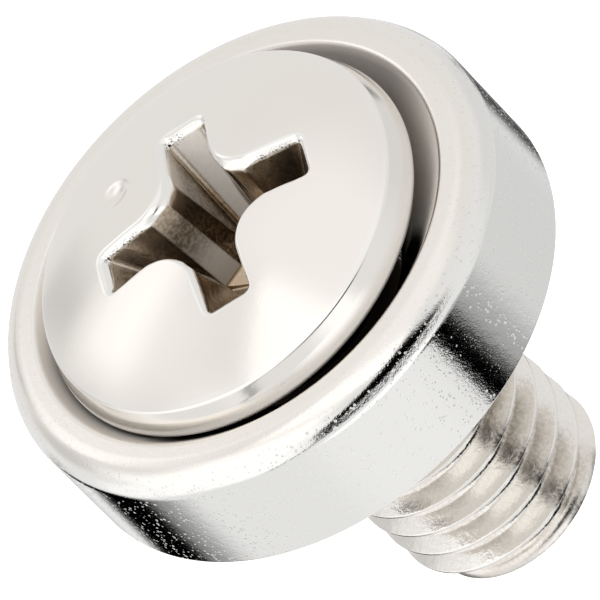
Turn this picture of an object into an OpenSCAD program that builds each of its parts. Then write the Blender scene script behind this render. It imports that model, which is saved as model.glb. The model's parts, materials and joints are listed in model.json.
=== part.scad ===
// Panel screw: raised countersunk screw with a cross recess, in a thick cup washer.
// It lies as it comes to rest, on the rim of the washer and on the tip of the thread.

/* [Screw head] */
// Diameter of the head's edge band
head_d = 10.9; // [10.4:0.1:11.4]
// Height of the straight edge band
band_h = 0.85; // [0.5:0.05:1.1]
// Rise of the dome above the edge band
dome_rise = 1.1; // [0.7:0.05:1.4]
// Full angle of the head's cone and of the washer's seat
cone_angle = 90; // [82:1:98]

/* [Cross recess] */
// Tip to tip across two wings, at the level of the top of the dome
recess_d = 6.3; // [5.4:0.1:6.8]
// Width of a wing, at the same level
wing_w = 1.25; // [1:0.05:1.5]
// Distance from the middle at which a wing's flank turns into the core
core_reach = 1.5; // [1.35:0.05:1.8]
// Distance from the middle to the ridge between two wings
core_near = 1.4; // [1.2:0.05:1.5]
// Depth of the wings below the top of the dome
recess_depth = 3.3; // [2.6:0.1:3.6]
// Size of the cross at the foot of the wings, as a share of its size at the top
recess_taper = 0.5; // [0.42:0.01:0.65]
// Depth of the pointed floor below the wings
recess_point = 0.5; // [0.3:0.05:0.7]
// Turn of the cross about the screw's axis
recess_turn = 48.5; // [0:0.5:90]
// How far the punch struck off the screw's axis, both to the right and up across it
recess_runout = 0.11; // [0:0.01:0.2]

/* [Dot mark] */
// Width of the round dimple in the dome
dot_d = 0.7; // [0.4:0.05:1]
// Depth of the dimple
dot_depth = 0.09; // [0.04:0.01:0.15]
// Distance of the dimple from the screw's axis
dot_at = 3.25; // [2.8:0.05:3.8]

/* [Shank] */
// Length from the edge of the dome to the end of the thread
screw_len = 14; // [12:0.5:30]
// Diameter over the thread's crests
thread_d = 5.9; // [5.8:0.02:6]
// Depth of the plain neck below the crests
neck_relief = 0.28; // [0.15:0.01:0.4]
// Chamfer at the end of the thread
tip_chamfer = 0.6; // [0.3:0.05:0.9]

/* [Cup washer] */
// Room between the head's band and the mouth of the seat, on the diameter
mouth_clear = 1.2; // [0.8:0.05:1.6]
// Width of the flat lip
lip_w = 0.57; // [0.3:0.01:0.9]
// Width of the sloped shoulder outside the lip
shoulder_w = 0.63; // [0.4:0.01:0.9]
// Drop of the shoulder from the lip to the wall
shoulder_drop = 0.61; // [0.4:0.01:0.9]
// How far the shoulder bulges over its chord
shoulder_bulge = 0.05; // [0.01:0.01:0.1]
// Small rounding between the shoulder and the wall
edge_round = 0.1; // [0.04:0.01:0.2]
// Room between the thread and the bore, on the diameter
bore_clear = 0.5; // [0.3:0.05:0.8]
// Length of the straight bore under the seat
bore_len = 0.9; // [0.5:0.05:1.5]

/* [Rest] */
// Lean of the loose washer against the screw's axis
lean = 3.15; // [0:0.05:4]
// How far the head hangs below the middle of the seat
head_drop = 0.15; // [0:0.01:0.3]
// Gap between the head's rim and the seat that carries it
seat_gap = 0.06; // [0.02:0.01:0.15]
// Gap between the underside of the washer and the first thread
thread_gap = 0.45; // [0.4:0.05:1]

/* [Hidden] */

plating = [0.86, 0.84, 0.81];
turned_fn = 96;
arc_steps = 6;
cut_over = 1;
floor_share = 0.8;

// Head and shank: radii, and heights above the edge of the dome
head_r = head_d/2;
dome_r = (head_r*head_r + dome_rise*dome_rise)/(2*dome_rise);
dome_centre = dome_rise - dome_r;
thread_r = thread_d/2;
neck_r = thread_r - neck_relief;
cone_slope = tan(cone_angle/2);
cone_foot = -band_h - (head_r - neck_r)/cone_slope;

// Washer: radii, and heights above its lip
mouth_r = head_r + mouth_clear/2;
lip_r = mouth_r + lip_w;
washer_r = lip_r + shoulder_w;
bore_r = thread_r + bore_clear/2;
seat_depth = (mouth_r - bore_r)/cone_slope;
washer_h = seat_depth + bore_len;

// Points of the arc from a to b that stands the bulge outside their chord, a left out
function bulged(a, b, bulge) =
    let (chord = norm(b - a), r = chord*chord/(8*bulge) + bulge/2, half = asin(chord/2/r),
         along = (b - a)/chord, out = [-along[1], along[0]])
    [for (i = [1:arc_steps])
        let (t = half*(2*i/arc_steps - 1))
        (a + b)/2 + along*r*sin(t) + out*(r*cos(t) - r + bulge)];

// The quarter turn that rounds the corner between the shoulder's end and the wall
shoulder_end = [washer_r - edge_round, -shoulder_drop + edge_round];
edge_centre = [washer_r - edge_round, -shoulder_drop];
edge_arc = [for (i = [0:arc_steps])
    let (t = 90 - 90*i/arc_steps) edge_centre + edge_round*[cos(t), sin(t)]];

washer_outline = concat(
    [[bore_r, -washer_h], [bore_r, -seat_depth], [mouth_r, 0], [lip_r, 0]],
    bulged([lip_r, 0], shoulder_end, shoulder_bulge),
    [for (i = [1:arc_steps]) edge_arc[i]],
    [[washer_r, -washer_h]]);

// Place of the washer: the lower side of the head's rim stands seat_gap inside the seat.
// Points here are [along the screw's axis towards the head, up across it].
rim_in_seat = (head_drop + head_r*cos(lean) + seat_gap - mouth_r)/cone_slope;
band_in_seat = rim_in_seat + head_r*sin(lean);
washer_along = [cos(lean), sin(lean)];
washer_up = [-sin(lean), cos(lean)];
lip_centre = [-band_h, 0] - band_in_seat*washer_along + head_drop*washer_up;
underside = lip_centre - washer_h*washer_along;
thread_top = underside[0] + underside[1]*tan(lean) - thread_gap;

// The two feet: the lowest point of the washer's underside, and the thread's end
rim_foot = underside - washer_r*washer_up;
tip_foot = [tip_chamfer - screw_len, -thread_r];
screw_tilt = atan2(tip_foot[1] - rim_foot[1], rim_foot[0] - tip_foot[0]);
washer_tilt = screw_tilt + lean;
function front(p) = p[1]*sin(screw_tilt) - p[0]*cos(screw_tilt);
function height(p) = p[0]*sin(screw_tilt) + p[1]*cos(screw_tilt);

screw_outline = [
    [0, -screw_len], [thread_r - tip_chamfer, -screw_len], [thread_r, tip_chamfer - screw_len],
    [thread_r, thread_top], [neck_r, thread_top + neck_relief], [neck_r, cone_foot],
    [head_r, -band_h], [head_r, 0], [0, 0]];

// Reach of the two turned outlines along the floor, from the head to the tip
screw_reach = [for (p = screw_outline, side = [-1, 1]) front([p[1], side*p[0]])];
washer_reach = [for (p = washer_outline, side = [-1, 1])
    front(lip_centre) + side*p[0]*sin(washer_tilt) - p[1]*cos(washer_tilt)];
reach = concat(screw_reach, washer_reach);
middle = (min(reach) + max(reach))/2;

// Puts a child whose +Z runs along the screw's axis towards the head at rest on the floor
module at_rest() {
    translate([0, -middle, -height(rim_foot)])
        rotate([90 - screw_tilt, 0, 0])
            children();
}

// Outline of the cross: two crossed bars on a core with a ridge between each two wings
module cross_outline() {
    ridge = core_near/sqrt(2);
    square([recess_d, wing_w], center = true);
    square([wing_w, recess_d], center = true);
    polygon([for (turn = [0:90:270], p = [[core_reach, wing_w/2], [ridge, ridge], [wing_w/2, core_reach]])
        [p[0]*cos(turn) - p[1]*sin(turn), p[0]*sin(turn) + p[1]*cos(turn)]]);
}

// The punch that strikes the recess: a tapered cross that starts over the dome, with a pointed foot
module recess_punch() {
    over_scale = 1 + (1 - recess_taper)*cut_over/recess_depth;
    foot = dome_rise - recess_depth;
    core_r = floor_share*core_near*recess_taper;
    translate([recess_runout, recess_runout, 0])
        rotate([0, 0, recess_turn]) {
            translate([0, 0, dome_rise + cut_over])
                mirror([0, 0, 1])
                    linear_extrude(height = recess_depth + cut_over, scale = recess_taper/over_scale)
                        scale(over_scale)
                            cross_outline();
            rotate_extrude($fn = turned_fn)
                polygon([[0, foot - recess_point], [core_r, foot], [core_r, dome_rise], [0, dome_rise]]);
        }
}

// The round dimple, struck square to the dome midway between two wings
module dot_mark() {
    ball_r = (dot_d*dot_d/4 + dot_depth*dot_depth)/(2*dot_depth);
    rotate([0, 0, recess_turn + 135])
        translate([0, 0, dome_centre])
            rotate([0, asin(dot_at/dome_r), 0])
                translate([0, 0, dome_r + ball_r - dot_depth])
                    sphere(r = ball_r, $fn = turned_fn);
}

module screw() {
    color(plating)
        at_rest()
            difference() {
                union() {
                    rotate_extrude($fn = turned_fn)
                        polygon(screw_outline);
                    intersection() {
                        translate([0, 0, dome_centre])
                            sphere(r = dome_r, $fn = turned_fn);
                        translate([0, 0, -band_h/2])
                            cylinder(h = band_h/2 + dome_rise + cut_over, r = head_r, $fn = turned_fn);
                    }
                }
                recess_punch();
                dot_mark();
            }
}

module washer() {
    color(plating)
        at_rest()
            translate([0, lip_centre[1], lip_centre[0]])
                rotate([-lean, 0, 0])
                    rotate_extrude($fn = turned_fn)
                        polygon(washer_outline);
}

screw();
washer();
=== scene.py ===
# %% [markdown]
# A panel screw in its cup washer
#
# The object is a raised countersunk machine screw, nickel plated, that carries a thick loose washer with a
# conical seat. The imported model already holds both solids at their real size and at rest on the floor. This
# lesson dresses them: it rebuilds each one as a fine numpy surface, with the rolled edges, the tapered
# cross recess and the helical thread that a plated screw shows, and gives both a plated finish. The frame
# is loaded first.

# %% Load the imported model
import json
import bpy
import numpy as np
from mathutils import Matrix


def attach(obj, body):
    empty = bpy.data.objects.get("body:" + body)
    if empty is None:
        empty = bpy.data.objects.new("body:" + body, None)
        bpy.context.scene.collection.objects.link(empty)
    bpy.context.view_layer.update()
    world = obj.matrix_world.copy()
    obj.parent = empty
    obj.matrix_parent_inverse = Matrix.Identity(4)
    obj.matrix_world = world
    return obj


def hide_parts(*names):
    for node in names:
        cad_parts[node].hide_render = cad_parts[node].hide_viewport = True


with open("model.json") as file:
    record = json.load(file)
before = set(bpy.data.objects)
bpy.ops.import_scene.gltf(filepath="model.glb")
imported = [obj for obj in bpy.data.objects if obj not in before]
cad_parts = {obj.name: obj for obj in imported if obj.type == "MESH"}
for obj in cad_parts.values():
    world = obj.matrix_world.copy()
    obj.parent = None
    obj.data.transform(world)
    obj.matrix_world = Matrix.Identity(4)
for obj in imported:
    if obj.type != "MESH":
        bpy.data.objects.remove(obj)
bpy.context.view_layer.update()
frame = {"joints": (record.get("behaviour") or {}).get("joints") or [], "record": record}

# %% [markdown]
# Two turned pieces, two axes
#
# Screw and washer are both bodies of revolution, so each is easiest to describe along its own axis, in
# millimetres. The washer is loose and leans about three degrees against the screw. Both axes could be typed
# in as angles, but the record already states them exactly: the thread mount lies on the screw's axis, and
# the spin joint on the washer's. A stand is an origin with three axes, and placing points on it is one
# product.

# %% Stands of the screw and of the washer
MM = 0.001
SCREW_LEN, TIP_CHAMFER = 14.0, 0.6
WASHER_H = 3.75


def stand(point_m, along, shift_mm):
    """Origin, in metres, moved along the axis from a point on it, and three axes as rows: the frame's X,
    the direction up across the axis, and the axis towards the head."""
    along = np.array(along)/np.linalg.norm(along)
    side = np.array([1.0, 0.0, 0.0])
    return np.array(point_m) + along*shift_mm*MM, np.stack([side, np.cross(along, side), along])


def placed(points_mm, on):
    """Points of a stand in the frame: the origin plus each coordinate times its axis."""
    origin, axes = on
    return origin + points_mm @ axes*MM


mount = {m["name"]: m for m in frame["record"]["mounts"]}
thread_len = mount["thread"]["dims"]["length_mm"]
thread_r = mount["thread"]["dims"]["r_mm"]
spin = frame["joints"][0]
screw_stand = stand(mount["thread"]["pos_m"], -np.array(mount["thread"]["axis"]),
                    SCREW_LEN - TIP_CHAMFER - thread_len/2)
washer_stand = stand(spin["pos_m"], spin["axis"], WASHER_H)
print("edge of the dome at", screw_stand[0].round(6), "and middle of the lip at", washer_stand[0].round(6))

# %% [markdown]
# The camera
#
# The photograph was taken with a long lens from a little above the floor, with the camera rolled so that
# the screw stands more upright in the picture. Angles and distance come from fitting the circles of the
# lip, the wall and the head. The picture's middle falls a little right of the lip's middle and below it, so
# the camera aims at that point and needs no shift.

# %% Camera at the photograph's view
VIEW_AZIMUTH, VIEW_ELEVATION, VIEW_ROLL = np.radians([44.65, 4.83, 11.51])
VIEW_DISTANCE = 295.737
AIM_RIGHT, AIM_DOWN = 1.650, 1.489
SENSOR, LENS = 36.0, 700.15
CLIP_NEAR, CLIP_FAR = 0.01, 50.0


def camera_axes(azimuth, elevation, roll):
    """Right, up and back of a camera. Back points from the object to the camera: its azimuth counts from -Y
    towards +X. Right and up start level and are turned about back by the roll."""
    flat = np.cos(elevation)
    back = np.array([np.sin(azimuth)*flat, -np.cos(azimuth)*flat, np.sin(elevation)])
    level = np.array([np.cos(azimuth), np.sin(azimuth), 0.0])
    upright = np.cross(back, level)
    return level*np.cos(roll) + upright*np.sin(roll), upright*np.cos(roll) - level*np.sin(roll), back


right, up, back = camera_axes(VIEW_AZIMUTH, VIEW_ELEVATION, VIEW_ROLL)
eye = washer_stand[0] + (right*AIM_RIGHT - up*AIM_DOWN + back*VIEW_DISTANCE)*MM
pose = np.eye(4)
pose[:3] = np.stack([right, up, back, eye], axis=-1)
lens = bpy.data.cameras.new("photo_camera")
lens.sensor_width, lens.lens = SENSOR, LENS
lens.clip_start, lens.clip_end = CLIP_NEAR, CLIP_FAR
camera = bpy.data.objects.new("photo_camera", lens)
camera.matrix_world = Matrix(pose.tolist())
bpy.context.scene.collection.objects.link(camera)
bpy.context.scene.camera = camera
print("camera at", eye.round(4))

# %% [markdown]
# Profiles with rounded corners
#
# A turned part is a profile carried round an axis. A real edge is never sharp: the tool and the plating
# leave a small rounding, and on bright metal that rounding is what draws the edge as a line of light. A
# bevel modifier could add it, but on a profile each corner can have its own radius, and the straight
# stretches can get a guard point near both ends, so that smooth shading bends only in the arcs and the
# flats stay flat. A second helper adds points to long stretches, because a finish that changes along a flat
# needs rows to change on.

# %% Helper: polyline to rounded profile
ARC_STEPS = 7
GUARD, GUARD_SHARE = 0.03, 0.2


def unit(v):
    """Vectors divided by their lengths."""
    return v/np.linalg.norm(v, axis=-1, keepdims=True)


def rounded(points, radii, steps=ARC_STEPS):
    """Points along a polyline whose inner corners are arcs. An arc's centre lies on the corner's bisector,
    radius/sin(half the corner's angle) away, and the arc runs between the two feet, radius/tan(half) from
    the corner. Every straight stretch is cut at a guard distance from both ends."""
    p, r = np.asarray(points, float), np.asarray(radii, float)[:, None]
    to_last, to_next = unit(p[:-2] - p[1:-1]), unit(p[2:] - p[1:-1])
    half = np.arccos((to_last*to_next).sum(1, keepdims=True))/2
    centre = p[1:-1] + unit(to_last + to_next)*r/np.sin(half)
    enter, leave = p[1:-1] + to_last*r/np.tan(half), p[1:-1] + to_next*r/np.tan(half)
    turn, t = (np.pi - 2*half)[:, None], np.linspace(0, 1, steps + 1)[None, :, None]
    arcs = centre[:, None] + ((enter - centre)[:, None]*np.sin((1 - t)*turn)
                              + (leave - centre)[:, None]*np.sin(t*turn))/np.sin(turn)
    start, end = np.vstack([p[:1], leave]), np.vstack([enter, p[-1:]])
    near = np.minimum(GUARD/np.linalg.norm(end - start, axis=1, keepdims=True), GUARD_SHARE)
    cut = np.hstack([near, 1 - near])
    runs = start[:, None] + cut[..., None]*(end - start)[:, None]
    body = np.concatenate([runs[:-1], arcs], axis=1).reshape(-1, 2)
    return np.vstack([p[:1], body, runs[-1], p[-1:]])


def finer(profile, longest):
    """The same profile with extra points on its long stretches. The run along it is cut at even steps, and
    the cuts that fall on stretches longer than a step are kept."""
    stretch = np.linalg.norm(np.diff(profile, axis=0), axis=1)
    run = np.append(0, np.cumsum(stretch))
    cuts = np.arange(0, run[-1], longest)
    at = np.union1d(run, cuts[stretch[np.searchsorted(run, cuts, side="right") - 1] > longest])
    return np.stack([np.interp(at, run, profile[:, k]) for k in (0, 1)], axis=-1)


print("a profile with one round corner has", len(rounded([(0, 0), (1, 0), (1, 1)], [0.2])), "points")

# %% [markdown]
# From grids to meshes
#
# Both pieces are grids whose columns run round the axis. A face joins two neighbouring rows and two
# neighbouring columns, and the last column joins the first again. Since all corners come from one table of
# vertex numbers, the faces are four slices of that table, and no loop over vertices is needed. A row that
# holds one number throughout is a point: its quads have two equal corners, and become the triangles of a
# fan.

# %% Helper: vertex tables to faces


def ring(table):
    """The neighbour of every entry in a table whose columns close into a ring."""
    return np.roll(table, -1, axis=1)


def faces_of(table, beside):
    """Quads between the rows of a table and of its neighbours' table, wound so that they face outwards when
    the rows run from the inside of the recess over the head and down to the tip."""
    return np.stack([table[:-1], table[1:], beside[1:], beside[:-1]], axis=-1).reshape(-1, 4)


def split_faces(quads):
    """Whole quads, and triangles from quads with one pair of equal corners. Quads with two equal pairs have
    no area and are left out."""
    same = quads == np.roll(quads, -1, axis=1)
    pairs = same.sum(1)
    thin = quads[pairs == 1]
    first = np.argmax(same[pairs == 1], axis=1)[:, None]
    return quads[pairs == 0], np.take_along_axis(thin, (first + [[1, 2, 3]]) % 4, axis=1)


sample = np.arange(12).reshape(3, 4)
print("a ring of 3 rows and 4 columns has", len(faces_of(sample, ring(sample))), "quads")

# %% Helper: faces to a piece that rides on its body


def piece(name, points, quads, values, node):
    """A smooth mesh object in the frame, at the origin, that rides on the node's body and stands for the
    node. Values are floats per vertex, kept as named attributes that the finish reads. Points that no face
    uses are left out."""
    whole, thin = split_faces(quads)
    used, number = np.unique(np.concatenate([whole.ravel(), thin.ravel()]), return_inverse=True)
    whole, thin = number[:whole.size].reshape(-1, 4), number[whole.size:].reshape(-1, 3)
    mesh = bpy.data.meshes.new(name)
    mesh.from_pydata(points[used], [], whole.tolist() + thin.tolist())
    for label, numbers in values.items():
        kept = mesh.attributes.new(label, "FLOAT", "POINT")
        kept.data.foreach_set("value", numbers[used].astype(np.float32))
    mesh.shade_smooth()
    obj = bpy.data.objects.new(name, mesh)
    bpy.context.scene.collection.objects.link(obj)
    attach(obj, node)
    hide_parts(node)
    print(name, "has", len(used), "vertices and", 2*len(whole) + len(thin), "triangles")
    return obj


# %% [markdown]
# The cup washer
#
# On the real object this is a thick turned ring: a narrow lip, a domed shoulder outside it, a tall straight
# wall, a flat underside, a short bore and a conical seat for the head. A lathe modifier could turn it. Here
# the profile is written as seven corners with their radii, and turned by an outer product with sine and
# cosine. The list starts and ends in the middle of the underside, so that every corner is an inner one. Lip
# and shoulder have large radii and melt into one another, as they do on the real ring, and the wall's
# corners stay tight.

# %% Washer: profile and surface
MOUTH_R, LIP_R, WASHER_R, BORE_R = 6.05, 6.627, 7.25, 3.2
SEAT_DEPTH = 2.85
LIP_FALL, WALL_TOP = -0.025, -0.675
SHOULDER_R, SHOULDER_Z = 7.017, -0.245
UNDERSIDE_R = 5.0
WASHER_COLUMNS, WASHER_ROW = 300, 0.2
washer_corners = [
    (UNDERSIDE_R, -WASHER_H), (BORE_R, -WASHER_H), (BORE_R, -SEAT_DEPTH), (MOUTH_R, 0.0), (LIP_R, LIP_FALL),
    (SHOULDER_R, SHOULDER_Z), (WASHER_R, WALL_TOP), (WASHER_R, -WASHER_H), (UNDERSIDE_R, -WASHER_H)]
washer_rounding = [0.08, 0.15, 0.2, 0.8, 0.8, 0.4, 0.035]


def turned(profile, angles):
    """Surface of revolution: radius times cosine, radius times sine, and height, for each profile point and
    each angle."""
    r, z = profile[:, :1], profile[:, 1:]
    return np.stack([r*np.cos(angles), r*np.sin(angles), z + 0*angles], axis=-1)


washer_profile = finer(rounded(washer_corners, washer_rounding), WASHER_ROW)[:-1]
washer_angles = np.linspace(0, 2*np.pi, WASHER_COLUMNS, endpoint=False)
washer_grid = turned(washer_profile, washer_angles)
washer_table = np.arange(washer_grid.size//3).reshape(washer_grid.shape[:2])
# The profile closes on itself, so its first row follows the last
washer_loop = np.vstack([washer_table, washer_table[:1]])
print("washer profile has", len(washer_profile), "points")

# %% [markdown]
# Where the washer's finish changes
#
# Five numbers per vertex tell the finish what to do. Satin dulls the metal, from a mirror at 0 over satin
# at 1 to matte at 12. Stain turns it tan: a real stain, whose deepening in hollows is painted shade. The
# shade number paints shade, and blackens the metal where little light gets in. Burr scatters dark specks,
# and rolled adds the lumps of cold formed metal. An image could be painted for each, but it would need an
# unwrapped surface.
# Numbers on the grid follow from the height and from the bearing, which is the angle round the axis.
#
# The turned wall is mirror bright, the lip and the shoulder are satin, and the seat is matte, because
# nothing polished it. Hardly any light gets in between head and seat, so shade is painted there: on the
# lower right, where the head hangs close to the seat, the gap is painted black, and more of it the deeper
# one looks, near the bore the seat is painted black all round, and on the left and at the top it gets
# painted shade. The seat's tan deepens with depth as painted shade too.

# %% Washer: zones and piece
NARROW_FROM = (-98, -72)
MATTE = 11


def smooth_step(x, low, high):
    """0 below low, 1 above high, and 3*t*t - 2*t*t*t of the share t between them."""
    t = np.clip((x - low)/(high - low), 0, 1)
    return t*t*(3 - 2*t)


def between(x, start, full, fade, end):
    """0 before start and after end, 1 from full to fade, and smooth steps on both sides."""
    return smooth_step(x, start, full)*(1 - smooth_step(x, fade, end))


def bearing_of(angle):
    """Degrees round an axis from the frame's X, from -180 to 180."""
    return np.degrees(angle + np.pi) % 360 - 180


w_radius = washer_profile[:, :1] + 0*washer_angles
w_height = washer_profile[:, 1:] + 0*washer_angles
w_bearing = bearing_of(washer_angles)
in_seat = (w_radius < MOUTH_R)*(w_height > -WASHER_H)
polished = smooth_step(w_radius, LIP_R + 0.1, WASHER_R - 0.01)*(w_height > -WASHER_H + 0.02)
# Painted shade in the seat: black near the bore and in the narrow gap, partial on the far side and the left
shade_end = 8 + 12*np.clip(-w_height, 0, 2)
bottom = smooth_step(-w_height, 1.9, 2.7)
narrow = between(w_bearing, *NARROW_FROM, shade_end, shade_end + 8)*smooth_step(-w_height, 0.02, 0.25)
far_side = 0.62*between(w_bearing, 42, 78, 120, 150)*smooth_step(-w_height, -0.05, 0.15)
left_side = between(w_bearing, -160, -125, -85, -65)*(0.42*smooth_step(-w_height, -0.02, 0.15)
                                                      + 0.5*smooth_step(-w_height, 0.3, 0.42))
seat_painted_shade = np.maximum.reduce([bottom, narrow, far_side, left_side])
washer_values = {
    "satin": (1 - polished + MATTE*in_seat*smooth_step(-w_height, 0.0, 0.12)).ravel(),
    # The seat's tan deepens with depth as painted shade
    "stain_and_shade": (in_seat*(0.08 + 0.12*smooth_step(-w_height, 0.2, 1.2))).ravel(),
    "painted_shade": (seat_painted_shade*in_seat).ravel(),
    "burr": np.zeros(w_radius.size),
    "rolled": np.zeros(w_radius.size),
}
cup_washer = piece("cup_washer", placed(washer_grid.reshape(-1, 3), washer_stand),
                   faces_of(washer_loop, ring(washer_loop)), washer_values, "washer")

# %% [markdown]
# The cross recess
#
# A cold punch strikes the recess: four wings with straight flanks on a core that shows two flat facets and
# a ridge between each two wings. Everything tapers inwards with depth so that the punch comes out again,
# the wings' ends most of all. Cutting it with a boolean would leave ragged edges on a smooth dome. Instead
# one octant of the outline is a function of a running number: from the middle of a wing's end round its
# corner, along its flank and along one facet to the ridge. Mirrored and turned, it gives all columns of the
# screw, and because each depth uses the same running numbers, the rows join without cutting. Columns crowd
# beside the edges, which keeps them crisp under smooth shading.

# %% Columns of the screw, counted from the middle of each wing
RECESS_TURN = np.radians(48.5)
COLUMNS = 240
OCTANT = COLUMNS//8
END_STEPS, CORNER_STEPS, FLANK_STEPS = 5, 5, 6
FACET_STEPS = OCTANT - END_STEPS - CORNER_STEPS - FLANK_STEPS
NEAR_EDGE, IN_FACET = 0.07, 0.2

column = np.arange(COLUMNS)
wing = column//(2*OCTANT)
in_wing = column % (2*OCTANT) - OCTANT
step = np.abs(in_wing)
wing_turn = RECESS_TURN + np.pi/2*wing
column_angle = wing_turn + in_wing*(np.pi/4/OCTANT)
facet_share = np.concatenate([[0, NEAR_EDGE], np.linspace(IN_FACET, 1 - IN_FACET, FACET_STEPS - 3),
                              [1 - NEAR_EDGE, 1]])
octant_share = np.concatenate([np.arange(END_STEPS)/END_STEPS, np.arange(CORNER_STEPS)/CORNER_STEPS,
                               np.linspace(0, 1 - NEAR_EDGE, FLANK_STEPS), facet_share])
share_of_run = octant_share[step]
on_end = step < END_STEPS
on_corner = step < END_STEPS + CORNER_STEPS
on_flank = step < END_STEPS + CORNER_STEPS + FLANK_STEPS
print("each wing has", 2*OCTANT, "columns")

# %% Outline of the recess at any depth
OFF_AXIS = np.array([0.11, 0.11])
WING_REACH, WING_HALF, WING_CORNER = 3.19, 0.615, 0.13
CORE_REACH, CORE_NEAR, ARCH_NEAR = 1.40, 1.25, 1.365
REACH_DRAFT, HALF_DRAFT, CORE_DRAFT, NEAR_DRAFT = 0.47, 0.0875, 0.05, 0.085


def recess_outline(depth, grow=0.0, arch=0.0):
    """Plan of the recess, x and y from the screw's axis, for each column. Wing reach, half width, the flank's
    end on the core and the ridge's distance shrink with depth below the top of the dome by their drafts. Grow
    moves every side outwards: a corner between two sides with normals m and n moves by (m + n)/(1 + m.n).
    Arch blends the two facets into one arc that touches both flanks and passes the diagonal at its own
    distance: for half width h and a coordinate c there, its radius is (c - h)/(1 - cos 45)."""
    half = WING_HALF - HALF_DRAFT*depth
    turn_at = CORE_REACH - CORE_DRAFT*depth
    ridge = (CORE_NEAR - NEAR_DRAFT*depth)/np.sqrt(2)
    slant = np.hypot(ridge - half, turn_at - ridge)
    nx, ny = (ridge - half)/slant, (turn_at - ridge)/slant
    turn_at, ridge = turn_at + grow*nx/(1 + ny), ridge + grow*(nx + ny)/(1 + 2*nx*ny)
    half, reach, corner = half + grow, WING_REACH - REACH_DRAFT*depth + grow, WING_CORNER + grow
    bow = ((ARCH_NEAR + grow)/np.sqrt(2) - half)/(1 - np.sqrt(0.5))
    flank_end = turn_at + arch*(half + bow - turn_at)
    bend, sweep = share_of_run*np.pi/2, share_of_run*np.pi/4
    facet_along, facet_across = turn_at + share_of_run*(ridge - turn_at), half + share_of_run*(ridge - half)
    arc_along, arc_across = half + bow*(1 - np.sin(sweep)), half + bow*(1 - np.cos(sweep))
    along = np.select([on_end, on_corner, on_flank],
                      [reach, reach - corner*(1 - np.cos(bend)),
                       reach - corner + share_of_run*(flank_end - reach + corner)],
                      facet_along + arch*(arc_along - facet_along))
    across = np.select([on_end, on_corner, on_flank],
                       [share_of_run*(half - corner), half - corner*(1 - np.sin(bend)),
                        half + 0*share_of_run],
                       facet_across + arch*(arc_across - facet_across))*np.sign(in_wing)
    return np.stack([along*np.cos(wing_turn) - across*np.sin(wing_turn),
                     along*np.sin(wing_turn) + across*np.cos(wing_turn)], axis=-1) + OFF_AXIS


print("tip to tip of the recess at the top:", 2*WING_REACH, "mm")

# %% [markdown]
# The dome and its dimple
#
# The head is a shallow dome, and a small round dimple beside the recess is struck into it. A sphere could
# be cut for both, but a height over the plan is all that the grid needs: the sphere's height, less a bowl
# at the dot. The recess's edge lies where the tapered outline meets this height. Each depends on the other,
# and six rounds of putting one into the other settle it.

# %% Height of the dome, and the edge of the recess on it
HEAD_R, BAND_H, DOME_RISE = 5.45, 0.85, 1.1
DOME_R = (HEAD_R**2 + DOME_RISE**2)/(2*DOME_RISE)
DOT_AT, DOT_TURN, DOT_R, DOT_DEPTH = 3.11, RECESS_TURN + np.radians(132.0), 0.46, 0.13
SETTLE_ROUNDS = 6
dot_centre = DOT_AT*np.array([np.cos(DOT_TURN), np.sin(DOT_TURN)])


def dome_height(plan):
    """Height of the dome over its edge: a sphere's, less a bowl at the dot, which is depth*(1 - s*s) where s
    is the distance from its middle in dot radii."""
    sphere = DOME_RISE - DOME_R + np.sqrt(DOME_R**2 - (plan**2).sum(-1))
    away = np.linalg.norm(plan - dot_centre, axis=-1)/DOT_R
    return sphere - DOT_DEPTH*np.clip(1 - away**2, 0, 1)


edge_depth = np.zeros(COLUMNS)
for settle in range(SETTLE_ROUNDS):
    edge_depth = DOME_RISE - dome_height(recess_outline(edge_depth))
print("recess edge lies", edge_depth.min().round(3), "to", edge_depth.max().round(3), "mm below the top")

# %% [markdown]
# How the edge of the recess rolls over
#
# A punch drags metal with it, so the edge is not the same all round. On the sides that face the lower left
# the metal is drawn in over a soft roll, and on the others it breaks off crisp, with the two facets worn to
# one arc. One radius for the whole edge would be simpler, but its line of light would then be too even. The
# radius goes from soft to crisp with the direction that the edge faces, and is averaged over a few columns.

# %% Radius of the roll for each column
CRISP_ROLL, SOFT_ROLL = 0.07, 0.24
CRISP_SHIFT, CRISP_SIDE = 0.1, np.radians(-18)
BLEND_COLUMNS = 4
edge_plan = recess_outline(edge_depth)
along_edge = unit(np.roll(edge_plan, -1, axis=0) - np.roll(edge_plan, 1, axis=0))
facing = along_edge[:, 1]*np.cos(CRISP_SIDE) - along_edge[:, 0]*np.sin(CRISP_SIDE)
edge_roll = SOFT_ROLL + (CRISP_ROLL - SOFT_ROLL)*smooth_step(facing, -0.5, 0.35)
edge_roll = np.mean([np.roll(edge_roll, shift) for shift in range(-BLEND_COLUMNS, BLEND_COLUMNS + 1)], axis=0)
crisp = (SOFT_ROLL - edge_roll)/(SOFT_ROLL - CRISP_ROLL)
print("roll of", edge_roll.min().round(3), "to", edge_roll.max().round(3), "mm")

# %% [markdown]
# The head's rows
#
# The rows of the head start at the bottom of the recess, climb its tapered walls, roll over its edge on an
# arc, and then spread from the cross outline to the full circle of the dome. The roll is worked out as an
# outline that grows while it rises: the growth is radius*(1 - cosine) and the drop below the dome radius*(1
# - sine).

# %% Head: recess floor, walls, rolled edge and dome
RECESS_DEPTH, RECESS_POINT = 3.3, 0.45
DOME_RIM = 5.1
FLOOR_COUNT, WALL_COUNT, ROLL_COUNT, DOME_COUNT = 9, 16, 8, 34
FLOOR_FROM, WALL_FROM, DOME_FROM, BESIDE_ROLL = 0.08, 0.02, 0.04, 0.012


def with_height(plan, height):
    """Plan points and heights as points of the screw's stand."""
    return np.concatenate([plan, height[..., None]], axis=-1)


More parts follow.
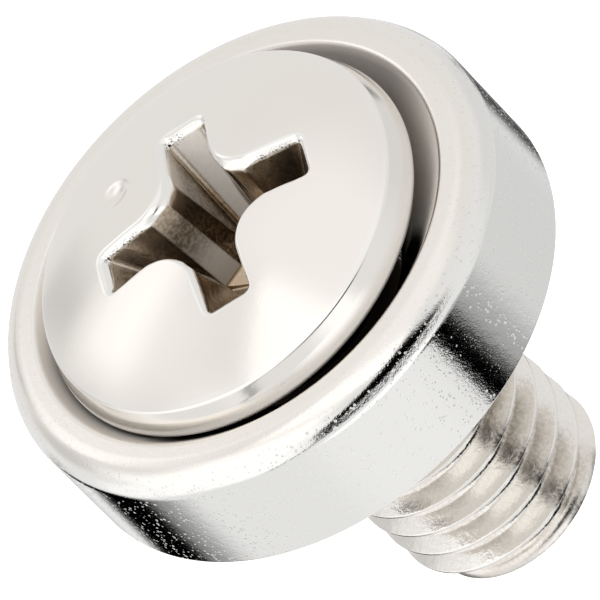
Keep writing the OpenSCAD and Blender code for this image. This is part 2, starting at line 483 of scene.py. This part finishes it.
floor_t = np.linspace(FLOOR_FROM, 1, FLOOR_COUNT)[:, None]
floor_plan = recess_outline(np.full(COLUMNS, RECESS_DEPTH))
floor_rows = with_height(OFF_AXIS + floor_t[..., None]*(floor_plan - OFF_AXIS),
                         DOME_RISE - RECESS_DEPTH - RECESS_POINT*(1 - floor_t) + 0*edge_depth)
wall_t = np.linspace(WALL_FROM, 1, WALL_COUNT)[:, None]
wall_depth = RECESS_DEPTH + wall_t*(edge_depth + edge_roll - RECESS_DEPTH)
wall_plan = recess_outline(wall_depth, CRISP_SHIFT*crisp*wall_t, crisp*smooth_step(wall_t, 0.5, 0.95))
wall_rows = with_height(wall_plan, DOME_RISE - wall_depth)
roll_t = np.linspace(0, np.pi/2, ROLL_COUNT + 1)[1:, None]
roll_plan = recess_outline(edge_depth + edge_roll*(1 - np.sin(roll_t)),
                           CRISP_SHIFT*crisp + edge_roll*(1 - np.cos(roll_t)),
                           np.maximum(crisp, smooth_step(roll_t, 0.0, 0.5)))
roll_rows = with_height(roll_plan, dome_height(roll_plan) - edge_roll*(1 - np.sin(roll_t)))
spread = np.append(BESIDE_ROLL, np.linspace(DOME_FROM, 1, DOME_COUNT))[:, None, None]
rim = DOME_RIM*np.stack([np.cos(column_angle), np.sin(column_angle)], axis=-1)
dome_plan = roll_plan[-1] + spread*(rim - roll_plan[-1])
dome_rows = with_height(dome_plan, dome_height(dome_plan))
print("head has", len(floor_rows) + len(wall_rows) + len(roll_rows) + len(dome_rows), "rows")

# %% [markdown]
# Band, cone and neck
#
# Below the dome the screw is a plain turned shape again, so the rounded profile does the work. The dome
# ends in a crease, where the heading die met the band. The band bulges a little and turns under at its
# foot, then comes the cone that sits in the washer, and the neck that the washer turns on.

# %% Turned rows between dome and thread
NECK_RELIEF = 0.28
NECK_R = thread_r - NECK_RELIEF
CONE_FOOT = -BAND_H - (HEAD_R - NECK_R)
CREASE_R, BULGE_R, BULGE_Z = 5.27, 5.53, -0.70
BAND_TOP, BAND_MIDDLE = (5.40, -0.26), (5.49, -0.53)
BAND_FOOT = (HEAD_R - 0.02, -BAND_H - 0.02)
NECK_ROW, RUN_OUT_LEN = 0.3, 0.2
thread_top = -(SCREW_LEN - TIP_CHAMFER - thread_len)
high_end = thread_top + RUN_OUT_LEN
rim_height, crease_height = dome_height(np.array([[DOME_RIM, 0.0], [CREASE_R, 0.0]]))
neck_corners = [
    (DOME_RIM, rim_height), (CREASE_R, crease_height), BAND_TOP, BAND_MIDDLE, (BULGE_R, BULGE_Z), BAND_FOOT,
    (NECK_R, CONE_FOOT), (NECK_R, high_end)]
neck_rounding = [0.1, 1.0, 0.6, 0.1, 0.15, 0.35]
neck_profile = finer(rounded(neck_corners, neck_rounding), NECK_ROW)[1:]
neck_rows = turned(neck_profile, column_angle)
print("band", BAND_H, "mm high, neck", 2*NECK_R, "mm thick")

# %% [markdown]
# The thread
#
# The thread is rolled: round roots, straight flanks and narrow flat crests with bright edges. A screw
# modifier could wind it, but then its ends stay open. Here the rows of the grid themselves follow the
# helix: one pitch of the profile is repeated along the axis, and every column is pushed along by its share
# of a turn. After the last column the helix meets the first column one pitch higher, so the seam joins rows
# one pitch apart. Heights are held between the two ends of the thread, which squeezes the surplus of the
# first and last turn into a circle, and the doubled points there are merged.

# %% Thread: one pitch, repeated and wound
PITCH, THREAD_DEPTH = 1.0, 0.585
CREST, FLANK = 0.07, 0.32
ROOT_ROUND, CREST_ROUND, THREAD_ARC_STEPS = 0.24, 0.03, 3
THREAD_PHASE = -0.08
crest_start, crest_end = PITCH/2 - CREST/2, PITCH/2 + CREST/2
pitch_corners = [
    (0.0, -THREAD_DEPTH), (crest_start - FLANK, -THREAD_DEPTH), (crest_start, 0.0),
    (crest_end, 0.0), (crest_end + FLANK, -THREAD_DEPTH), (PITCH, -THREAD_DEPTH)]
pitch_rounding = [ROOT_ROUND, CREST_ROUND, CREST_ROUND, ROOT_ROUND]
pitch_profile = rounded(pitch_corners, pitch_rounding, THREAD_ARC_STEPS)[:-1]
rows_a_pitch = len(pitch_profile)
turns = int(np.ceil((SCREW_LEN + thread_top)/PITCH)) + 3
low_end = -SCREW_LEN
turn_share = np.arange(COLUMNS)/COLUMNS
base = low_end - 2*PITCH + THREAD_PHASE
raw = (base + PITCH*np.arange(turns)[:, None] + pitch_profile[:, 0]).reshape(-1, 1) + PITCH*turn_share
drop = np.tile(pitch_profile[:, 1], turns)[:, None] + 0*turn_share
thread_z = np.clip(raw, low_end, high_end)
print("thread of", turns, "turns with", rows_a_pitch, "rows a pitch")

# %% [markdown]
# Both ends of the thread
#
# At the tip a 45 degree chamfer leads the thread into its nut, and the blank's end is slightly dished. At
# the top the thread runs out into the thinner neck. Both are limits on the radius, so the helix needs no
# cutting.

# %% Thread: run-out, chamfer and end
DISH_R, DISH_POLE_R, DISH_DEPTH, DISH_ROUND = 1.9, 0.3, 0.06, 0.5
FADE = 0.9


def thread_radius(z, drop):
    """Crest radius plus the profile's drop, held inside the end's 45 degree chamfer, and faded into the neck
    over the last stretch below the washer."""
    chamfer = thread_r - TIP_CHAMFER + (z - low_end)
    fade = smooth_step(z, thread_top - FADE, high_end)
    cut = np.minimum(thread_r + drop, chamfer)
    return cut*(1 - fade) + NECK_R*fade


thread_reach = thread_radius(thread_z, drop)
thread_rows = np.stack([thread_reach*np.cos(column_angle), thread_reach*np.sin(column_angle), thread_z],
                       axis=-1)
end_corners = [(thread_r - TIP_CHAMFER, low_end), (DISH_R, low_end), (DISH_POLE_R, low_end + DISH_DEPTH)]
end_rows = turned(rounded(end_corners, [DISH_ROUND]), column_angle)
print("thread radius from", thread_reach.min().round(3), "to", thread_reach.max().round(3), "mm")

# %% [markdown]
# The screw as one closed surface
#
# All rows now go into one list of points, and tables of numbers say which rows meet. Thread points that
# were held at an end take the number of that end's ring instead, so the surplus rows shrink to nothing. One
# more point closes the floor of the recess, and another the dish of the end.

# %% Screw: join the rows
recess_pole = [*OFF_AXIS, DOME_RISE - RECESS_DEPTH - RECESS_POINT]
end_pole = [0, 0, low_end + DISH_DEPTH]
head_rows = np.concatenate([floor_rows, wall_rows, roll_rows, dome_rows, neck_rows])
points = np.concatenate([head_rows.reshape(-1, 3), thread_rows.reshape(-1, 3), end_rows.reshape(-1, 3),
                         [recess_pole, end_pole]])
head_table = np.arange(len(head_rows)*COLUMNS).reshape(-1, COLUMNS)
thread_table = head_table.size + np.arange(thread_z.size).reshape(-1, COLUMNS)
end_table = head_table.size + thread_table.size + np.arange(len(end_rows)*COLUMNS).reshape(-1, COLUMNS)
thread_table = np.where(raw <= low_end, end_table[0], np.where(raw >= high_end, head_table[-1], thread_table))
# Past the last column the helix goes on in the first one, a pitch higher
helix = ring(thread_table)
helix[:, -1] = np.append(thread_table[rows_a_pitch:, 0], np.full(rows_a_pitch, head_table[-1, 0]))
head_table = np.vstack([np.full(COLUMNS, len(points) - 2), head_table])
end_table = np.vstack([end_table, np.full(COLUMNS, len(points) - 1)])
screw_quads = np.concatenate([faces_of(head_table, ring(head_table)),
                              faces_of(thread_table[::-1], helix[::-1]),
                              faces_of(end_table, ring(end_table))])
print("screw is joined from", len(screw_quads), "quads, before those without area are left out")

# %% [markdown]
# Where the recess's finish changes
#
# The plating bath hardly reaches into the recess, so its walls are stained tan, and the tan is painted
# darker with depth as shade. Two faces catch the light, the end of the upper wing and the upper facet
# beside the left wing, and look matte; they keep a lighter tan as painted light, the facet only deeper
# down, and the facet gets painted shade near its top. The flanks and facets that face away from the light
# get painted shade. Where the punch tore the edge, on two flanks and at one corner, a burr is left with
# dark specks. All of this follows from the wing, the part of the outline and the depth.

# %% Zones of the recess
RIGHT, UPPER, LEFT, LOWER = range(4)
ahead, behind = in_wing > 0, in_wing < 0
flank, facet = on_flank & ~on_corner, ~on_flank
end_lit = (wing == UPPER) & on_end
side_lit = (wing == LEFT) & behind & facet
lit = end_lit | side_lit
# Tan of the recess, painted darker with depth as shade and kept lighter on the two lit faces as painted light
wall_stain_and_shade = ((0.25 + 0.65*smooth_step(wall_depth, 0.7, 2.6))*(1 - lit) + 0.08*end_lit
              + side_lit*(0.8 - 0.75*smooth_step(wall_depth, 1.2, 2.6)))
# Painted shade on the sides that face away from the light, and near the top of the lit facet
wall_painted_shade = (0.4*((wing == UPPER) & ahead & flank) + 0.7*((wing == UPPER) & ahead & facet)
             + 0.45*((wing == LEFT) & behind & flank) + 0.45*((wing == RIGHT) & ahead & on_flank & ~on_end)
             + 0.35*((wing == LOWER) & behind & on_flank)
             + 0.55*side_lit*(1 - smooth_step(wall_depth, 1.3, 2.6)))*smooth_step(wall_depth, 0.55, 1.0)
torn = on_flank & (((wing == RIGHT) & (in_wing > END_STEPS)) | ((wing == LEFT) & (in_wing < -END_STEPS))
                   | ((wing == UPPER) & on_corner & ahead))
print("columns with a torn edge:", int(torn.sum()))

# %% [markdown]
# Where the band, the neck and the thread change
#
# The cone and the neck stand in the closed gap and are painted black there as shade, and so is the band's
# foot where it meets the seat. The thread's grooves get painted shade on two sides, stronger towards the
# washer, and so do its crests over a narrow range of bearings; the groove of its run-out gets painted shade
# on the side that the washer shades.

# %% Zones of the band, the neck and the thread
neck_z = neck_profile[:, 1:]
below = -neck_z - BAND_H
bearing = bearing_of(column_angle)
# Painted shade of the cone and the neck in the closed gap, fading out where the thread begins
neck_gap = np.maximum(smooth_step(below, 1.2, 2.0),
                      between(bearing, *NARROW_FROM, 12, 24)*smooth_step(below, -0.08, 0.03))
neck_gap = neck_gap*smooth_step(neck_z, thread_top, thread_top + 0.25)
# Painted shade on the band's foot where it meets the seat, on the right and on the left
right_foot = 0.5*between(bearing, 4, 25, 48, 66)*smooth_step(below, -0.26, -0.06)
left_foot = 0.85*between(bearing, -145, -122, -85, -65)*smooth_step(below, -0.24, -0.17)
neck_painted_shade = np.maximum.reduce([neck_gap, right_foot, left_foot])
# Painted shade in the grooves on two sides, on the crests over a few bearings, and where the washer shades
# the run-out
in_groove = smooth_step(-drop, 0.02, 0.25)
groove_painted_shade = (between(bearing, -12, 4, 22, 46)*(0.7 + 0.6*smooth_step(thread_z, -12.5, -7.5))
          + 0.35*between(bearing, -76, -58, -46, -30))*in_groove
crest_painted_shade = 0.7*between(bearing, -12, -2, 0, 12)*(1 - smooth_step(-drop, 0.02, 0.12))
shaded_run_out = smooth_step(thread_z, thread_top - 0.75, thread_top - 0.45)*between(bearing, 20, 40, 80, 100)
tip_dull = smooth_step(-thread_z, SCREW_LEN - 0.7, SCREW_LEN - 0.5)
print("black share of the neck's vertices:", (neck_painted_shade > 0.5).mean().round(2))

# %% [markdown]
# The screw's values
#
# The screw gets the same five numbers as the washer, one part after the other. A part that isn't named has
# the number 0.

# %% Screw: values and piece
THREAD_SATIN, TIP_SATIN = 0.6, 4.0
screw_parts = {"floor": floor_rows, "wall": wall_rows, "roll": roll_rows, "dome": dome_rows,
               "neck": neck_rows, "thread": thread_rows, "end": end_rows}


def row_values(**given):
    """One number per vertex, in the order of the points: each named part gives a number, a row or a column of
    numbers or a full table, and both poles get the number of the row that they close."""
    flat = np.concatenate([np.broadcast_to(given.get(name, 0.0), rows.shape[:2]).ravel()
                           for name, rows in screw_parts.items()])
    return np.append(flat, [flat[0], flat[-1]])


# Tan is a real stain, and painted shade where it deepens in the grooves and the recess; black is painted
# shade
screw_values = {
    "stain_and_shade": row_values(floor=1.0, wall=wall_stain_and_shade, neck=0.2*smooth_step(-neck_z, 0.35, BAND_H),
                        thread=0.35*groove_painted_shade - 0.1*drop, end=0.2),
    "satin": row_values(floor=1.0, wall=1 + MATTE*lit, roll=0.5, dome=1.0,
                        neck=0.7 + MATTE*smooth_step(-neck_z, 0.36, 0.66),
                        thread=THREAD_SATIN + TIP_SATIN*tip_dull, end=THREAD_SATIN + TIP_SATIN),
    "painted_shade": row_values(wall=wall_painted_shade, neck=neck_painted_shade,
                       thread=np.maximum(0.25*groove_painted_shade + crest_painted_shade, shaded_run_out)),
    "burr": row_values(wall=torn*smooth_step(-wall_depth, -0.75, -0.4),
                       roll=torn*smooth_step(-roll_t, -0.9, -0.3)),
    "rolled": row_values(wall=0.6, thread=1.0, end=1.0),
}
panel_screw = piece("panel_screw", placed(points, screw_stand), screw_quads, screw_values,
                    "screw")

# %% [markdown]
# Shader maths as Python
#
# A finish is a graph of nodes. Wiring it by hand hides the thought behind it, so one small class wraps a
# socket: arithmetic on it adds Math nodes, and one method adds any other node from its type, its settings
# and what goes into its sockets.

# %% Helper: a socket that can be calculated with


class Flow:
    """One output socket of a shader tree. Operators add Math nodes and give the result's socket."""

    def __init__(self, socket):
        self.socket, self.tree = socket, socket.id_data

    @classmethod
    def add(cls, tree, kind, settings, inputs, out=0):
        """Any node: its type, its settings, which are set first, and the values or links of its sockets, by
        name or number."""
        node = tree.nodes.new("ShaderNode" + kind)
        for key, value in settings.items():
            setattr(node, key, value)
        for key, value in inputs.items():
            if isinstance(value, Flow):
                tree.links.new(value.socket, node.inputs[key])
            else:
                node.inputs[key].default_value = value
        return cls(node.outputs[out])

    def math(self, operation, *values):
        """A Math node of this tree, with numbers or flows in its sockets."""
        return Flow.add(self.tree, "Math", {"operation": operation}, dict(enumerate(values)))

    def __add__(self, other):
        return self.math("ADD", self, other)

    def __sub__(self, other):
        return self.math("SUBTRACT", self, other)

    def __rsub__(self, other):
        return self.math("SUBTRACT", other, self)

    def __mul__(self, other):
        return self.math("MULTIPLY", self, other)

    __radd__, __rmul__ = __add__, __mul__

    def step(self, low, high):
        """0 at low and before, 1 at high and beyond, smooth between; low may lie above high."""
        return Flow.add(self.tree, "MapRange", {"interpolation_type": "SMOOTHSTEP"},
                        {"Value": self, "From Min": low, "From Max": high})

    def tint(self, first, second):
        """A colour between two colours or colour flows, by this value."""
        return Flow.add(self.tree, "Mix", {"data_type": "RGBA"}, {0: self, 6: first, 7: second}, out=2)


# %% [markdown]
# Nickel plating
#
# Bright nickel is a warm white metal. It is not a perfect mirror: the plated surface follows fine waves of
# the steel under it, carries tiny pits, and is a little duller where the blank was only formed and not
# turned. All of that is noise in Object coordinates, so it stays put on the piece. Pits are cells of a
# Voronoi texture: a cell's random colour decides whether it holds a pit and how wide it is. A pit is mainly
# a rough speck, which shows white in a dark reflection and hardly at all in a bright one. Waves, grain and
# pits share one Bump node.
#
# Painted shade in a closed gap has to stay black from every side. A black metal would still shine at a flat
# angle, so painted shade mixes a black diffuse shader over the metal instead, as do burr specks and the
# painted shadow in satin pits.

# %% Nickel finish for both pieces
BRIGHT, WARM, WARM_DULL = (0.875, 0.87, 0.85, 1), (0.87, 0.835, 0.785, 1), (0.855, 0.815, 0.765, 1)
# Tan serves a stain and painted shade; the black serves painted shade, burr specks and the shadow in pits
TAN_STAIN_AND_SHADE, SHADE_AND_BURR_BLACK = (0.44, 0.345, 0.24, 1), (0.012, 0.009, 0.007, 1)
PIT_CELL, WAVE, PATCH, GRAIN, FLECK = 0.1*MM, 0.22*MM, 1.6*MM, 0.045*MM, 0.10*MM
BUMP_HEIGHT = 0.012*MM
MATTE_FROM, MATTE_AT, MATTE_METAL = 3.0, 12.0, 0.3


def nickel(name, mirror_roughness, satin_roughness, wave_share, grain_share, pit_share):
    """Metal whose colour and roughness run from a bright mirror to a warm satin by the piece's satin value,
    and on to tan by its tan value, which holds a real stain and painted shade, all broken up by noise.
    Painted shade and burr mix a black diffuse shader over it, and rolled adds the lumps of cold formed metal."""
    made = bpy.data.materials.new(name)
    made.use_nodes = True
    tree = made.node_tree
    shader = tree.nodes["Principled BSDF"]
    spot = Flow.add(tree, "TexCoord", {}, {}, out="Object")

    def zone(label):
        """One of the piece's values per vertex."""
        return Flow.add(tree, "Attribute", {"attribute_name": label}, {}, out="Fac")

    def noise(size, detail):
        """Noise about 0.5 with lumps of one size, in metres, and finer octaves as detail."""
        return Flow.add(tree, "TexNoise", {}, {"Vector": spot, "Scale": 1/size, "Detail": detail})

    satin, stain_and_shade, painted_shade, burr, rolled = (zone(k) for k in ("satin", "stain_and_shade", "painted_shade", "burr", "rolled"))
    formed, matte = satin.step(0.0, 1.0), satin.step(MATTE_FROM, MATTE_AT)
    patch, wave, grain = noise(PATCH, 6.0), noise(WAVE, 2.0), noise(GRAIN, 2.0)
    fleck = noise(FLECK, 3.0).step(0.35, 0.65)

    # Pits lie close together on the mirror wall and are scarce on satin
    cell = {"Vector": spot, "Scale": 1/PIT_CELL}
    away = Flow.add(tree, "TexVoronoi", {}, cell)
    shade = Flow.add(tree, "TexVoronoi", {}, cell, out="Color")
    chance = Flow.add(tree, "SeparateColor", {}, {"Color": shade})
    pit = ((chance - 1 + pit_share + 0.3*stain_and_shade)*0.8 - away).step(0.0, 0.2)*(1 - 0.9*formed)

    # Colour goes from bright over warm to tan, in patches and flecks; the tan is a stain, and painted shade
    # in hollows
    warm = satin.tint(BRIGHT, patch.tint(WARM_DULL, WARM))
    colour = (stain_and_shade*(0.3 + patch + 0.4*fleck) + 0.06*rolled*fleck).tint(warm, TAN_STAIN_AND_SHADE)
    dull = mirror_roughness + satin*(satin_roughness - mirror_roughness)
    roughness = dull + 0.10*(patch - 0.5) + 0.55*pit + 0.12*stain_and_shade
    height = (wave_share + 0.8*rolled)*wave + (grain_share + 0.25*rolled)*grain - 0.25*pit
    relief = {"Strength": 1.0, "Distance": BUMP_HEIGHT, "Height": height}
    normal = Flow.add(tree, "Bump", {}, relief, out="Normal")

    # Black is painted shade in closed gaps, breaks up on rolled metal, and sits as specks on burrs
    # and as painted shadow in satin pits
    broken = painted_shade*(1 + 0.7*rolled*(grain + fleck - 1.0))
    speck = grain.step(0.53, 0.62)*burr
    dark = painted_shade.math("MAXIMUM", broken, 0.9*speck + 0.4*pit*formed*(1 - matte))
    black = Flow.add(tree, "BsdfDiffuse", {}, {"Color": SHADE_AND_BURR_BLACK})
    bright = Flow(shader.outputs[0])
    covered = Flow.add(tree, "MixShader", {}, {0: dark.math("MINIMUM", dark, 1.0), 1: bright, 2: black})

    metal = 1 - (1 - MATTE_METAL)*matte
    surface = {"Base Color": colour, "Roughness": roughness, "Normal": normal, "Metallic": metal}
    for socket, value in surface.items():
        tree.links.new(value.socket, shader.inputs[socket])
    tree.links.new(covered.socket, tree.nodes["Material Output"].inputs["Surface"])
    print(name, "has", len(tree.nodes), "nodes")
    return made


panel_screw.data.materials.append(nickel("screw_nickel", mirror_roughness=0.09, satin_roughness=0.14,
                                         wave_share=0.09, grain_share=0.05, pit_share=0.14))
cup_washer.data.materials.append(nickel("washer_nickel", mirror_roughness=0.06, satin_roughness=0.14,
                                        wave_share=0.22, grain_share=0.18, pit_share=0.68))

# %% [markdown]
# The floor
#
# The photograph is high key, on a white table that shows no shadow. The floor glows a little, so that it
# stays white, and is for the camera only: bright metal sees the lower half of the tent in its place.

# %% Floor
FLOOR_HALF, FLOOR_DROP = 2.0, 2e-5
floor_mesh = bpy.data.meshes.new("floor")
floor_corners = FLOOR_HALF*np.array([(-1, -1, 0), (1, -1, 0), (1, 1, 0), (-1, 1, 0)]) - (0, 0, FLOOR_DROP)
floor_mesh.from_pydata(floor_corners.tolist(), [], [(0, 1, 2, 3)])
floor = bpy.data.objects.new("floor", floor_mesh)
bpy.context.scene.collection.objects.link(floor)
floor.visible_glossy = floor.visible_shadow = False
paper = bpy.data.materials.new("white_table")
paper.use_nodes = True
sheet = paper.node_tree.nodes["Principled BSDF"]
sheet.inputs["Base Color"].default_value = (0.8, 0.8, 0.8, 1)
sheet.inputs["Roughness"].default_value = 1.0
sheet.inputs["Specular IOR Level"].default_value = 0.0
sheet.inputs["Emission Color"].default_value = (1, 1, 1, 1)
sheet.inputs["Emission Strength"].default_value = 1.0
floor_mesh.materials.append(paper)
print("floor is", 2*FLOOR_HALF, "m wide")

# %% [markdown]
# A tent of white light
#
# Bright metal looks like what stands round it. In the photograph that is a white tent with a few dark gaps,
# which are the black bands on the wall and on the shoulder. Area lights would give hard edged boxes in the
# metal. A world that is white all round, a little brighter or darker in soft edged patches and black in a
# few gaps, is closer to a tent. Each patch is a box in azimuth, which counts from -Y towards +X, and in
# elevation, both in degrees. It lies where the line of sight goes after it meets the surface that should
# show the patch.

# %% Helper: directions and patches of the tent
world = bpy.data.worlds.new("white_tent")
bpy.context.scene.world = world
world.use_nodes = True
tree = world.node_tree
way = Flow.add(tree, "SeparateXYZ", {}, {0: Flow.add(tree, "TexCoord", {}, {}, out="Object")})
x, y, z = (Flow(way.socket.node.outputs[k]) for k in range(3))
DEGREES = 180/np.pi
azimuth = x.math("ARCTAN2", x, -1*y)*DEGREES
elevation = z.math("ARCSINE", z)*DEGREES


def side_of_tent(middle, half, soft):
    """1 near an azimuth, 0 away from it: a soft step down in the distance, which wraps at half a turn."""
    off = x.math("ABSOLUTE", x.math("WRAP", azimuth - middle, 180.0, -180.0))
    return off.step(half + soft, half - soft)


def patch_of_tent(middle, half, soft, lean=0.0):
    """1 inside a box of azimuth and elevation, 0 outside it, with soft edges. Lean moves the middle azimuth
    with the elevation over the box's middle."""
    over = elevation - middle[1]
    inside = x.math("ABSOLUTE", over).step(half[1] + soft[1], half[1] - soft[1])
    return side_of_tent(middle[0] + lean*over, half[0], soft[0])*inside


print("tent has directions in", len(tree.nodes), "nodes")

# %% Tent: brighter and darker cloth
CLOTH, EXPOSURE = 1.04, 0.84
# Each patch: its share of light, its middle, its half widths, the softness of its edges, and any lean
CLOTH_PATCHES = [
    # The dome: its lower right, its right, its lower left and the fold between them, and its darker left edge
    (0.46, (12, 19.5), (30, 10), (2, 4), -0.5),
    (0.18, (-8, 42), (40, 14), (22, 8)),
    (0.36, (-52, 15), (9, 13), (6, 5)),
    (0.14, (-38, 12), (10, 9), (10, 6)),
    (-0.26, (-74, 7), (8, 4), (3, 4)),
    # The shoulder: its darker left, then its bright lower side, from left to right
    (-0.24, (-62, -14), (11, 12), (6, 8)),
    (0.25, (-62, -52), (16, 10), (8, 6)),
    (0.42, (2, -6), (26, 12), (10, 8)),
    (0.38, (0, -38), (45, 24), (15, 10)),
    (0.42, (96, -25), (15, 27), (5, 6)),
    # The wall: its bright front, its grey upper right, and its far left edge
    (0.08, (124, -40), (20, 20), (10, 8)),
    (-0.17, (175, 16), (32, 8), (15, 5)),
    (-0.12, (175, 48), (50, 22), (25, 12)),
    (-0.30, (-134, -8), (5, 9), (4, 4)),
]
light = CLOTH
for glow, *box in CLOTH_PATCHES:
    light = light + glow*patch_of_tent(*box)
light = EXPOSURE*light
print("cloth has", len(CLOTH_PATCHES), "patches")

# %% [markdown]
# The dark gaps
#
# A slanted wedge draws the thin black line along the shoulder, and a narrow gap below it its end. Two small
# gaps darken the wall and the shoulder at the far right. The two broad bands on the wall are gaps with one
# hard and one slow edge: the right one fades upwards and the left one downwards, in two steps each.

# %% Tent: dark gaps
DARK_GAPS = [
    (0.8, (53, -45), (2.5, 20), (1.5, 5)),
    (0.7, (-151, 28), (5, 8), (3, 4)),
    (0.9, (-145, 6), (7, 12), (5, 6)),
]
slant = azimuth - 0.6*elevation
wedge = azimuth.step(46, 50)*slant.step(75.5, 71)*elevation.step(-36, -28)*elevation.step(30, 17)
light = light*(1 - wedge)
for loss, *box in DARK_GAPS:
    light = light*(1 - loss*patch_of_tent(*box))
right_fade = 0.5*elevation.step(-6, 1) + 0.5*elevation.step(2, 13)
right_band = side_of_tent(135, 25, 8)*elevation.step(-14.4, -12)*(1 - right_fade)
left_fade = 0.35*elevation.step(-47, -53) + 0.65*elevation.step(-53, -68)
left_band = side_of_tent(-123, 25, 8)*elevation.step(-23, -31)*(1 - left_fade)
light = light*(1 - right_band)*(1 - left_band)
tent = tree.nodes["Background"]
tree.links.new(light.socket, tent.inputs["Strength"])
tent.inputs["Color"].default_value = (1, 1, 1, 1)
bpy.context.scene.view_settings.view_transform = "Standard"
print("tent has", len(tree.nodes), "nodes")
